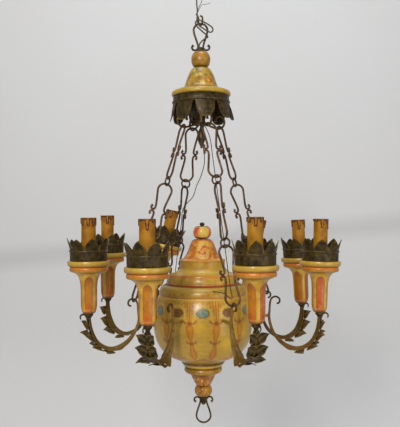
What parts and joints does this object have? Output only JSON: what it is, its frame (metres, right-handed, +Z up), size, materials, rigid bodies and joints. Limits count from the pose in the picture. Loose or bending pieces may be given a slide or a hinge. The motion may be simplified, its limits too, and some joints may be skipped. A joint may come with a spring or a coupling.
{
  "type": "painted wooden chandelier",
  "caption": "Turned, painted wooden chandelier hung on wrought chains, with leaf-shaped iron arms, wooden cups, sheet-iron crowns and candle sleeves.",
  "frame": {"origin": "inside of the top loop's crown, where the chandelier hangs", "axes": "+Z up along the chandelier's axis; -Y is the front, towards the viewer of the picture; +X is the viewer's right"},
  "size_m": [0.5658, 0.5438, 0.9324],
  "materials": {
    "cream_paint": "aged cream-yellow paint with ochre ornament, satin varnish",
    "cup_paint": "aged cream paint with orange and rose panels, satin varnish",
    "dark_iron": "dark olive-brown painted sheet iron, worn to bright edges",
    "leaf_iron": "dark bronze-brown painted iron",
    "rust_iron": "brown, lightly rusted wrought wire",
    "candle_card": "ochre sleeve with red-brown drips, semi-matt",
    "flex_cover": "dark twisted flex, semi-matt"
  },
  "bodies": {
    "canopy": {"top_loop": "dark_iron", "canopy_ball": "cream_paint", "canopy_bell": "cream_paint", "canopy_skirt": "dark_iron", "hook_cross": "dark_iron", "hanging_ring": "dark_iron", "supply_flex": "flex_cover"},
    "urn": {"urn_lid": "cream_paint", "lid_ball": "cream_paint", "tie_rod": "dark_iron", "urn_body": "cream_paint", "urn_base": "cream_paint", "base_ball": "cream_paint", "arm_1": "leaf_iron", "cup_1": "cup_paint", "crown_1": "dark_iron", "arm_2": "leaf_iron", "cup_2": "cup_paint", "crown_2": "dark_iron", "arm_3": "leaf_iron", "cup_3": "cup_paint", "crown_3": "dark_iron", "arm_4": "leaf_iron", "cup_4": "cup_paint", "crown_4": "dark_iron", "arm_5": "leaf_iron", "cup_5": "cup_paint", "crown_5": "dark_iron", "arm_6": "leaf_iron", "cup_6": "cup_paint", "crown_6": "dark_iron", "arm_7": "leaf_iron", "cup_7": "cup_paint", "crown_7": "dark_iron", "arm_8": "leaf_iron", "cup_8": "cup_paint", "crown_8": "dark_iron"},
    "chain_1": {"chain_1_top_link": "rust_iron", "chain_1_middle_link": "rust_iron", "chain_1_bottom_link": "rust_iron", "feed_wire_front": "flex_cover"},
    "chain_2": {"chain_2_top_link": "rust_iron", "chain_2_middle_link": "rust_iron", "chain_2_bottom_link": "rust_iron"},
    "chain_3": {"chain_3_top_link": "rust_iron", "chain_3_middle_link": "rust_iron", "chain_3_bottom_link": "rust_iron", "feed_wire_back": "flex_cover"},
    "chain_4": {"chain_4_top_link": "rust_iron", "chain_4_middle_link": "rust_iron", "chain_4_bottom_link": "rust_iron"},
    "candle_1": {"candle_1": "candle_card"},
    "candle_2": {"candle_2": "candle_card"},
    "candle_3": {"candle_3": "candle_card"},
    "candle_4": {"candle_4": "candle_card"},
    "candle_5": {"candle_5": "candle_card"},
    "candle_6": {"candle_6": "candle_card"},
    "candle_7": {"candle_7": "candle_card"},
    "candle_8": {"candle_8": "candle_card"},
    "pull_loop": {"pull_loop": "dark_iron"}
  },
  "joints": [
    {"name": "urn_sway", "type": "hinge", "parent": "canopy", "child": "urn", "pos_m": [0, 0, -0.08641], "axis": [0, 1, 0], "range_deg": [-2.5, 2.5]},
    {"name": "chain_1_sway", "type": "hinge", "parent": "canopy", "child": "chain_1", "pos_m": [0.01607, -0.0388, -0.2232], "axis": [0, 1, 0], "range_deg": [-3.5, 3.5], "deforming": ["feed_wire_front"]},
    {"name": "chain_2_sway", "type": "hinge", "parent": "canopy", "child": "chain_2", "pos_m": [0.0388, 0.01607, -0.2232], "axis": [0, 1, 0], "range_deg": [-3.5, 3.5]},
    {"name": "chain_3_sway", "type": "hinge", "parent": "canopy", "child": "chain_3", "pos_m": [-0.01939, 0.03725, -0.2232], "axis": [0, 1, 0], "range_deg": [-3.5, 3.5], "deforming": ["feed_wire_back"]},
    {"name": "chain_4_sway", "type": "hinge", "parent": "canopy", "child": "chain_4", "pos_m": [-0.0388, -0.01607, -0.2232], "axis": [0, 1, 0], "range_deg": [-3.5, 3.5]},
    {"name": "candle_1_lift", "type": "slide", "parent": "urn", "child": "candle_1", "axis": [0, 0, 1], "range_m": [0, 0.09]},
    {"name": "candle_2_lift", "type": "slide", "parent": "urn", "child": "candle_2", "axis": [0.0262, 0, 0.9997], "range_m": [0, 0.09]},
    {"name": "candle_3_lift", "type": "slide", "parent": "urn", "child": "candle_3", "axis": [-0.0349, 0, 0.9994], "range_m": [0, 0.09]},
    {"name": "candle_4_lift", "type": "slide", "parent": "urn", "child": "candle_4", "axis": [0.1908, 0, 0.9816], "range_m": [0, 0.09]},
    {"name": "candle_5_lift", "type": "slide", "parent": "urn", "child": "candle_5", "axis": [0.2164, 0, 0.9763], "range_m": [0, 0.09]},
    {"name": "candle_6_lift", "type": "slide", "parent": "urn", "child": "candle_6", "axis": [0, 0, 1], "range_m": [0, 0.09]},
    {"name": "candle_7_lift", "type": "slide", "parent": "urn", "child": "candle_7", "axis": [0, 0, 1], "range_m": [0, 0.09]},
    {"name": "candle_8_lift", "type": "slide", "parent": "urn", "child": "candle_8", "axis": [0, 0, 1], "range_m": [0, 0.09]},
    {"name": "pull_loop_turn", "type": "hinge", "parent": "urn", "child": "pull_loop", "pos_m": [0, 0, -0.81669], "axis": [0, 0, 1], "continuous": true}
  ],
  "couplings": [
    {"joint": "chain_1_sway", "follows": "urn_sway", "ratio": 1.3621},
    {"joint": "chain_2_sway", "follows": "urn_sway", "ratio": 1.3621},
    {"joint": "chain_3_sway", "follows": "urn_sway", "ratio": 1.3621},
    {"joint": "chain_4_sway", "follows": "urn_sway", "ratio": 1.3621}
  ]
}
